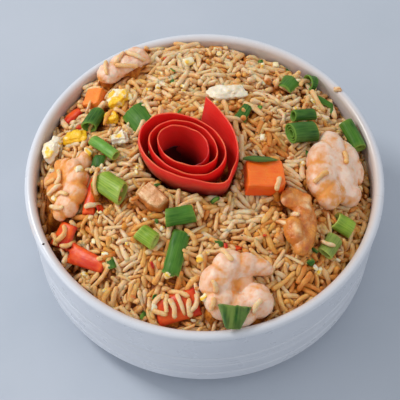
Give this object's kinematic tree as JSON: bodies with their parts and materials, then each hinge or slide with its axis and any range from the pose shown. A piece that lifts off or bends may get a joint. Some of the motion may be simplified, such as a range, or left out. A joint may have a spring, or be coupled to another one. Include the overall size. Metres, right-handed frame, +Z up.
{
  "type": "bowl of fried rice",
  "caption": "Fried rice heaped in a round white stoneware bowl, topped with a rolled peel rose, prawns, chicken, egg, carrot, pepper and cut spring onion.",
  "frame": {"origin": "centre of the bowl's foot ring, on the plane it stands on", "axes": "+Z up, -Y towards the eater, +X to the eater's right"},
  "size_m": [0.18, 0.18, 0.091],
  "materials": {
    "glaze": "glossy white glaze on stoneware",
    "rice": "cooked, lightly oiled",
    "peel": "smooth moist peel",
    "carrot": "cooked, moist",
    "pepper": "cooked, moist",
    "prawn": "cooked, moist",
    "chicken": "seared",
    "egg": "scrambled, soft",
    "onion": "waxy green skin",
    "onion_pale": "waxy pale green skin",
    "leaf": "fresh leaf"
  },
  "bodies": {
    "root": {"bowl": "glaze", "rice": "rice", "peel_rose": "peel", "prawn_right": "prawn", "prawn_front": "prawn", "prawn_back": "prawn", "prawn_left": "prawn", "chicken_curl": "chicken", "chicken_seared": "chicken", "egg_white_back": "egg", "egg_curd_back": "egg", "egg_yolk_back": "egg", "egg_yolk_left": "egg", "egg_white_left": "egg", "egg_curd_middle": "egg", "carrot_slab": "carrot", "carrot_cube": "carrot", "pepper_chip_back": "pepper", "pepper_strip_left": "pepper", "pepper_piece_left": "pepper", "pepper_strip_front_left": "pepper", "pepper_front": "pepper", "onion_tube_back_left": "onion", "onion_tube_thin": "onion", "onion_tube_bent": "onion", "onion_tube_back_right": "onion", "onion_tube_fat": "onion", "onion_tube_right": "onion", "onion_ring_back": "onion", "onion_tube_dull": "onion", "onion_pale_big": "onion_pale", "onion_pale_block": "onion_pale", "onion_pale_right": "onion_pale", "onion_flat_back": "onion", "onion_flat_long": "onion", "onion_flat_dark": "onion", "onion_flat_back_right": "onion", "onion_flat_right": "onion", "onion_flat_chip": "onion", "leaf_sliver": "leaf", "leaf_front": "leaf"}
  },
  "joints": []
}
